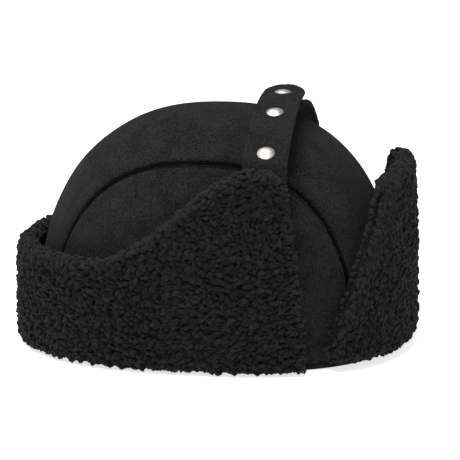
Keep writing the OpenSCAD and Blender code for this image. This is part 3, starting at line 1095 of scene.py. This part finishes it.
    def trims(self, tape: bpy.types.Material, wool: bpy.types.Material, label: bpy.types.Material) -> None:
        """Builds the sweatband, the rolled facing at the rim and the blank label."""
        z0 = self.form.rim
        rise = np.linspace(0, self.band_h, 57)
        rib = 0.12 * np.sin(rise * 2 * math.pi)
        inner = np.stack([self.band_in + 0.25 + rib * 0.8, z0 + rise], -1)
        outer = np.stack([np.full_like(rise, self.band_out - 0.05), z0 + rise], -1)[::-4]
        self.ring("sweatband_tape", "sweatband", np.concatenate([inner, outer]), tape, "sweatband_tape")
        angle = np.linspace(0, 2 * math.pi, 29)[:-1]
        roll_out = 1.0
        mid, half = (roll_out + self.band_in) / 2, (roll_out - self.band_in) / 2
        c, s = np.cos(angle), np.sin(angle)
        roll_z = self.facing_h / 2 * (1 + signed_power(s, 0.5))
        roll = np.stack([mid + half * signed_power(c, 0.35), roll_z], -1)
        self.ring("rim_roll", "rim_facing", roll, wool, "wool")
        back = Side.RIGHT.sign * 180
        spread = math.degrees(self.label_w / 2 / (self.form.b + self.band_in)) * 0.98
        phi = np.linspace(back - spread, back + spread, 24)[:, None]
        z = np.linspace(z0 + self.label_inset, z0 + self.band_h - self.label_inset, 14)[None]
        x, y = self.form.plan(phi, self.band_in - 0.15 + 0 * z)
        lean = self.form.taper(z, self.band_in)
        piece = grid_mesh("label_cloth", np.stack([x * lean, y * lean, z + 0 * phi], -1))
        thicken(piece, 0.45)
        finish_mesh(piece, 40)
        self.sew(piece, "blank_label", label, "label_weave", "laid", "sweatband")


# ---------------------------------------------------------------- straps and snaps


@dataclass
class Strap:
    """One wool strap, sewn to an ear flap and arching over the crown."""

    form: Form
    side: Side
    top: float
    sag: float
    end: float
    width: float = 27.0
    thick: float = 3.0
    root: float = 82.5
    forward: float = 42.0
    slope: float = 0.045
    snap_x: float = -4.0
    tab_low: float = 107.0
    tip_rise: float = 4.0

    def line(self) -> Array:
        """The strap's middle line from its tab to its tip, as distance from the middle and height."""
        f = self.form
        s = -self.side.sign
        r = np.linspace(self.root - 3.2, self.end, 300)
        along = s * r - self.snap_x
        z = self.top + self.slope * along - self.sag * along**2
        if self.side is Side.RIGHT:
            z = z + self.tip_rise * np.clip((-r - self.snap_x) / (-self.end - self.snap_x), 0, 1) ** 2
        rise = s * np.gradient(z, s * r)
        normal = unit(np.stack([-rise, np.ones_like(rise)], -1), guard=0)
        arch = np.stack([r, z], -1) - normal * self.thick / 2
        low = np.linspace(self.tab_low, f.ear_h - 1.0, 20)
        side_x = (f.a - 0.35 - f.cuff_lean(low)) * 0.9674
        tab = np.stack([side_x, low], -1)
        t = np.linspace(0, 1, 24)[1:-1, None]
        a, b = tab[-1], arch[0]
        out = np.array([0.1, 4.6])
        back = (arch[0] - arch[3]) / np.linalg.norm(arch[0] - arch[3]) * 4.0
        early = (1 - t) ** 3 * a + 3 * (1 - t) ** 2 * t * (a + out)
        bend = early + 3 * (1 - t) * t**2 * (b + back) + t**3 * b
        line = np.concatenate([tab, bend, arch])
        return np.stack([s * line[:, 0], np.full(len(line), -self.forward), line[:, 1]], -1)

    def build(self, name: str, start: float, stop: float, material: bpy.types.Material) -> bpy.types.Object:
        """Builds a stretch of the strap as one padded double ply.

        Args:
            name: the piece's name.
            start: share of the strap's length where it starts.
            stop: share where it ends.
            material: the wool.

        Returns:
            The piece.
        """
        last = 2399
        dense = even(self.line(), last + 1)
        total = float(np.linalg.norm(np.diff(dense, axis=0), axis=1).sum())
        count = int(total * (stop - start) / 0.8)
        at = np.linspace(start, stop, count) * last

        def place(places: Array) -> Array:
            """Points on the middle line."""
            return np.stack([np.interp(places, np.arange(last + 1), dense[:, k]) for k in range(3)], -1)

        rows = place(at)
        tangent = unit(place(np.clip(at + 6, 0, last)) - place(np.clip(at - 6, 0, last)), guard=0)
        side = np.array([0, 1.0, 0])
        up = np.cross(side, tangent)
        up *= np.sign((up * (rows - np.array([0, -self.forward, 60.0]))).sum(-1, keepdims=True))
        left = (1 - at / last) * total
        half = self.width / 2
        share = np.sqrt(np.clip(1 - (1 - np.clip(left / half, 0, 1)) ** 2, 0.0004, 1))
        across = np.linspace(-1, 1, 45)
        w = half * share[:, None] * across[None]
        edge = np.minimum(half * share[:, None] - np.abs(w), np.where(left < half, left, 99)[:, None])
        stitch = 0.42 * np.exp(-(((edge - 3.2) / 0.75) ** 2))
        roll = 1 - quarter_round(edge, 1.1)
        lift = self.thick / 2 * (1 - 0.8 * roll) - stitch
        middle = rows[:, None] + side * w[..., None]
        wave = drift(middle.reshape(-1, 3), 9.0, 51)[:, 0].reshape(w.shape) * 0.16
        rough = drift(middle.reshape(-1, 3), 1.4, 53).reshape(w.shape + (3,)) * 0.2
        top = middle + up[:, None] * (lift + wave)[..., None] + rough
        under = middle - up[:, None] * (lift - 0.02)[..., None] + rough
        mid_l = rows[:, None] + side * w[:, :1, None] * 0.985
        mid_r = rows[:, None] + side * w[:, -1:, None] * 0.985
        points = np.concatenate([top, mid_r, under[:, ::-1], mid_l], 1)
        piece = grid_mesh(name, points, ring=True, caps=True)
        finish_mesh(piece, 55)
        dress(piece, material)
        return piece


def build_straps(form: Form, wool: bpy.types.Material) -> None:
    """Builds both straps."""
    right = Strap(form, Side.RIGHT, 157.5, 0.0042, -14.0)
    left = Strap(form, Side.LEFT, 151.25, 0.0038, -16.0)
    split = 0.617
    plies = (
        (right, "right_strap_cloth", (0.0, split),
         ("right_strap_tab", "right_strap_face", "right_strap_back"),
         ("right_ear_flap", "right_strap"), ((-0.0842, 0.1225), (-0.078, 0.1325)), ("stretched", "crown")),
        (right, "strap_tip_cloth", (split, 1.0), ("strap_tip_face", "strap_tip_back"),
         ("right_strap", "right_strap_tip"), ((-0.0245, 0.155), (-0.0165, 0.156)),
         ("laid", "left_strap_cloth")),
        (left, "left_strap_cloth", (0.0, 1.0),
         ("left_strap_tab", "left_strap_face", "left_strap_back"),
         ("left_ear_flap", "left_strap"), ((0.0842, 0.1225), (0.078, 0.1325)), ("stretched", "crown")),
    )
    for strap, name, reach, nodes, bodies, fold, lies in plies:
        piece = strap.build(name, *reach, wool)
        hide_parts(*nodes)
        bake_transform(piece)
        LOG.info("%s: %d faces", piece.name, len(piece.data.polygons))


# ---------------------------------------------------------------- studio


@dataclass(frozen=True)
class Studio:
    """A pale floor, soft light and the camera."""

    azimuth: float = 279.5
    elevation: float = 12.3
    distance: float = 1.1
    lens: float = 132.4
    target: tuple[float, float, float] = (0.0, 0.0, 0.075)
    right: float = 0.00715
    down: float = 0.0088
    floor_glow: float = 0.72
    air: float = 0.28
    seen_air: float = 0.72

    def floor(self) -> None:
        """A large pale floor."""
        bpy.ops.object.select_all(action="DESELECT")
        bpy.ops.mesh.primitive_plane_add(size=8.0, location=(0, 0, -0.0004))
        floor = bpy.context.object
        floor.name = "studio_floor"
        only(floor)
        bpy.ops.object.mode_set(mode="EDIT")
        bpy.ops.mesh.subdivide(number_cuts=3)
        bpy.ops.object.mode_set(mode="OBJECT")
        bpy.ops.object.transform_apply(location=True, rotation=True, scale=True)
        material, bsdf = shader("studio_paper")
        set_inputs(bsdf, Base_Color=(0.93, 0.93, 0.93, 1), Roughness=1.0, Specular_IOR_Level=0.0,
                   Emission_Color=(1, 1, 1, 1), Emission_Strength=self.floor_glow)
        floor.data.materials.append(material)

    def lights(self) -> None:
        """A broad key, a top light and a weak fill. The surroundings look white to the camera only."""
        world = bpy.data.worlds.new("studio_air")
        bpy.context.scene.world = world
        world.use_nodes = True
        back = world.node_tree.nodes["Background"]
        back.inputs["Color"].default_value = (1, 1, 1, 1)
        seen = world.node_tree.nodes.new("ShaderNodeLightPath")
        extra = math_node(world.node_tree, "MULTIPLY", seen.outputs["Is Camera Ray"], self.seen_air)
        strength = math_node(world.node_tree, "ADD", extra, self.air)
        world.node_tree.links.new(strength, back.inputs["Strength"])
        for name, place, size, power in (
            ("key", (-0.7, 0.2, 1.6), 0.8, 28.0),
            ("top", (0.2, 0.4, 1.7), 1.2, 18.0),
            ("fill", (-1.3, -0.9, 0.8), 1.0, 3.0),
        ):
            data = bpy.data.lights.new(name, "AREA")
            data.energy, data.size = power, size
            light = bpy.data.objects.new(name, data)
            light.location = place
            light.rotation_euler = (Vector((0, 0, 0.07)) - Vector(place)).to_track_quat("-Z", "Y").to_euler()
            bpy.context.scene.collection.objects.link(light)

    def camera(self) -> None:
        """A long lens, a little above the hat's middle."""
        a, e = math.radians(self.azimuth), math.radians(self.elevation)
        look = Vector((-math.sin(a) * math.cos(e), math.cos(a) * math.cos(e), -math.sin(e)))
        turned = look.to_track_quat("-Z", "Y")
        data = bpy.data.cameras.new("camera")
        data.lens, data.sensor_width = self.lens, 36.0
        camera = bpy.data.objects.new("camera", data)
        camera.rotation_euler = turned.to_euler()
        move = turned @ Vector((self.right, -self.down, 0))
        camera.location = Vector(self.target) - look * self.distance + move
        bpy.context.scene.collection.objects.link(camera)
        bpy.context.scene.camera = camera

    def build(self) -> None:
        """Makes the whole studio."""
        bpy.context.scene.view_settings.view_transform = "Standard"
        self.floor()
        self.lights()
        self.camera()


def dress_frame(frame: dict, finishes: dict[str, bpy.types.Material]) -> None:
    """Gives the CAD nodes that stay their finishes."""
    for node, finish in (
        ("wadding_centre_panel", "wadding"), ("wadding_side_panel_right", "wadding"),
        ("wadding_side_panel_left", "wadding"), ("snap_caps", "cap"), ("tip_snap_cap", "cap"),
        ("snap_sockets", "metal"), ("tip_snap_socket", "metal"),
        ("snap_stud", "metal"), ("snap_post", "metal"),
        ("socket_springs", "spring"), ("tip_socket_spring", "spring"),
    ):
        piece = frame["nodes"][node]
        piece.data.materials.clear()
        piece.data.materials.append(finishes[finish])


def main() -> None:
    """Builds the hat on its frame and lights it."""
    logging.basicConfig(level=logging.INFO, format="%(message)s")
    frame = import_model()
    form = Form.from_frame()
    LOG.info("crown %.1f by %.1f by %.1f mm", form.a, form.b, form.h)
    weave, fibres = weave_group(), fibre_group()
    wool = WoolFinish("black_wool").make(weave)
    strap_wool = WoolFinish("strap_wool", ribs=520.0, nap=1300.0, rib_share=0.5).make(weave)
    pile = PileFinish().make(fibres)
    smooth = {
        name: SmoothFinish(name, *values).make(weave)
        for name, *values in (
            ("lining_satin", (0.008, 0.008, 0.009), (0.02, 0.02, 0.022), 0.42, 1500.0),
            ("sweatband_tape", (0.006, 0.006, 0.0065), (0.016, 0.016, 0.017), 0.7, 900.0),
            ("label_weave", (0.03, 0.03, 0.031), (0.07, 0.07, 0.072), 0.65, 1200.0),
            ("wadding", (0.45, 0.43, 0.39), (0.8, 0.78, 0.74), 0.95, 260.0, 0.3, 0.0008),
        )
    }
    finishes = {
        "wadding": smooth["wadding"],
        "cap": MetalFinish("cap_metal", (0.60, 0.565, 0.52), 0.40).make(),
        "metal": MetalFinish("snap_metal", (0.62, 0.60, 0.57), 0.35).make(),
        "spring": MetalFinish("spring_wire", (0.5, 0.49, 0.47), 0.3).make(),
    }
    dress_frame(frame, finishes)
    crown = Crown(form)
    crown.panels(wool, smooth["lining_satin"])
    crown.trims(smooth["sweatband_tape"], wool, smooth["label_weave"])
    pads = PilePad(form)
    for cut in cuff_cuts():
        pads.build(cut, pile, wool)
    build_straps(form, strap_wool)
    Studio().build()


if __name__ == "__main__":
    main()
